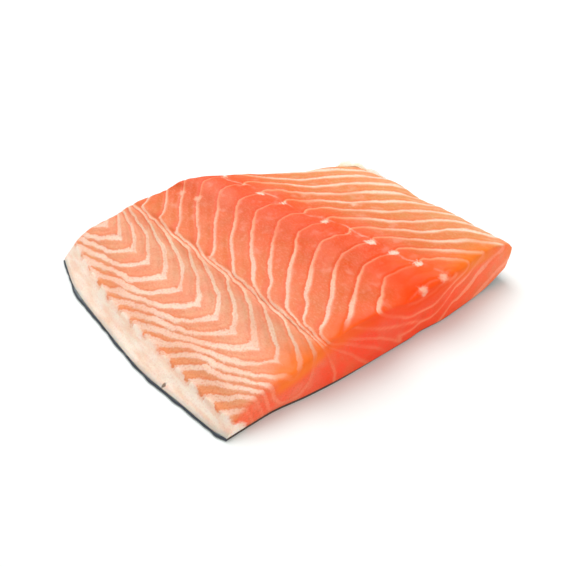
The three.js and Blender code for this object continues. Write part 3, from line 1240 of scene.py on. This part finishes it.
skin_material, base = new_material("scaled_skin")
spot = millimetres(base)
scales = base.node("TexVoronoi", {"feature": "F1"}, {
    "Vector": scaled(spot, 1, 0.8, 1),
    "Scale": 1 / SCALE_SIZE,
    "Randomness": SCALE_UNEVENNESS,
}, "Distance")
up_the_side = field(base, "width_share") + swing(noise(spot, 25), 0.3)
skin_colour = layered(SKIN_SILVER, [
    (step(up_the_side, 0.15, 0.75), SKIN_DARK),
    (step(scales, 0.35, 0.65) * SCALE_SHADE, SKIN_DARK),
    # Partly painted contact shadow on the skin's front cut edge.
    (step(field(base, "length_share"), *CUT_EDGE), SKIN_CUT_AND_SHADOW),
    (step(field(base, "width_share"), *CUT_EDGE), SKIN_EDGE),
])
scaly = base.node("Bump", {}, {"Strength": 0.5, "Distance": SCALE_DEPTH, "Height": 1 - scales})
shine = base.node("BsdfPrincipled", {}, {
    "Base Color": skin_colour,
    "Metallic": 0.35 * step(up_the_side, 0.8, 0.2),
    "Roughness": 0.3 + 0.15 * noise(spot, 2),
    "Coat Weight": 0.3,
    "Coat Roughness": 0.15,
    "Normal": scaly,
})
dress(skin, skin_material, shine)

# %% [markdown]
# At the far corner of the back a scrap of pale fat was left standing by the knife. It is a thin
# wavy flap with a ragged upper edge that follows a path round the corner. Its foot sinks into the
# flesh, and it thins towards its upper edge and its ends.

# %% Scrap of fat
SCRAP_CELLS = (96, 14, 2)
SCRAP_THICKNESS = 0.9
SCRAP_THINNEST = 0.1
SCRAP_SUNK = 1.8
SCRAP_TAPER = 0.85
SCRAP_LEAN = 0.2
SCRAP_CURL = 0.4
SCRAP_OUTWARDS = (0.6, 0.8)
RAGGED_MEAN, RAGGED_SWING = 0.9, 0.18
scrap_x = smooth([(0, 149), (0.5, 160.5), (0.62, 163), (1, 165.4)])
scrap_y = smooth([(0, 96.7), (0.5, 92.2), (0.62, 89.8), (1, 73)])
scrap_crest = smooth([
    (0, 0), (0.15, 2.8), (0.35, 5.2), (0.5, 3.6), (0.65, 1.8), (0.85, 1.1), (1, 0),
])

scrap_places, scrap_faces, scrap_floor = box_of_cells(*SCRAP_CELLS, 1)
scrap_along, scrap_up, scrap_side = (scrap_places / SCRAP_CELLS).T
path_x, path_y = scrap_x(scrap_along), scrap_y(scrap_along)
crest = scrap_crest(scrap_along)
on_table = np.stack([path_x, path_y, path_x * 0], -1)
ragged = RAGGED_MEAN + RAGGED_SWING * waves(on_table, 3, seed=34)
rise = scrap_up * (SCRAP_SUNK + crest * ragged)
taper = np.maximum(np.minimum(crest, 1) * (1 - SCRAP_TAPER * scrap_up), SCRAP_THINNEST)
curl = SCRAP_CURL * waves(np.stack([path_x, path_y, rise], -1), 7, seed=32) * scrap_up
outwards = SCRAP_LEAN * rise + curl + SCRAP_THICKNESS * taper * (scrap_side - 0.5)
scrap_points = np.stack([
    path_x + SCRAP_OUTWARDS[0] * outwards,
    path_y + SCRAP_OUTWARDS[1] * outwards,
    height_at(path_x, path_y) - SCRAP_SUNK + rise,
], -1)
inside_out = [*scrap_faces.tolist(), *scrap_floor]
scrap = mesh_piece("fat_scrap", scrap_points, [face[::-1] for face in inside_out], {})
print("the scrap is up to", round(float(crest.max()), 1), "mm high")

# %% [markdown]
# So thin a flap lets nearly all light in, which scatters far. Blots of peach vary its cream.

# %% Scrap material
SCRAP_CREAM = paint("#fce3cf")
SCRAP_PEACH = paint("#f2b999")
PEACH_SHARE = 0.6
SCRAP_SCATTER = 4 * MM

scrap_material, base = new_material("pale_fat")
spot = millimetres(base)
scrap_colour = blend(step(noise(spot, 4), 0.35, 0.7) * PEACH_SHARE, SCRAP_CREAM, SCRAP_PEACH)
dress(scrap, scrap_material, base.node("BsdfPrincipled", {}, {
    "Base Color": scrap_colour,
    "Roughness": 0.4 + 0.15 * noise(spot, 1.5),
    "Subsurface Weight": 1.0,
    "Subsurface Radius": (1.0, 0.8, 0.65),
    "Subsurface Scale": SCRAP_SCATTER,
}))

# %% [markdown]
# Each piece rides on the part's one body, and the flesh and the skin stand for their CAD solids.
# The floor is a plain pale sheet. It is marked as a stage, so it is no part of the salmon.

# %% Hand over
FLOOR_SIZE = 6
FLOOR_WHITE = paint("#eeeeee")

for piece, node in ((flesh, "flesh"), (skin, "skin")):
    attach(piece, "root")
    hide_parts(node)
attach(scrap, "root")

bpy.ops.mesh.primitive_plane_add(size=FLOOR_SIZE)
floor = bpy.context.object
floor.name = "floor"
floor_material, base = new_material("white_table")
dress(floor, floor_material, base.node("BsdfPrincipled", {}, {
    "Base Color": FLOOR_WHITE,
    "Roughness": 0.9,
}))
floor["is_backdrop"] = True

visual_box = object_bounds()
for name, before, after in zip(("low", "high"), solid_box, visual_box):
    print("the box's", name, "corner moves by", [round(way / MM, 2) for way in after - before])
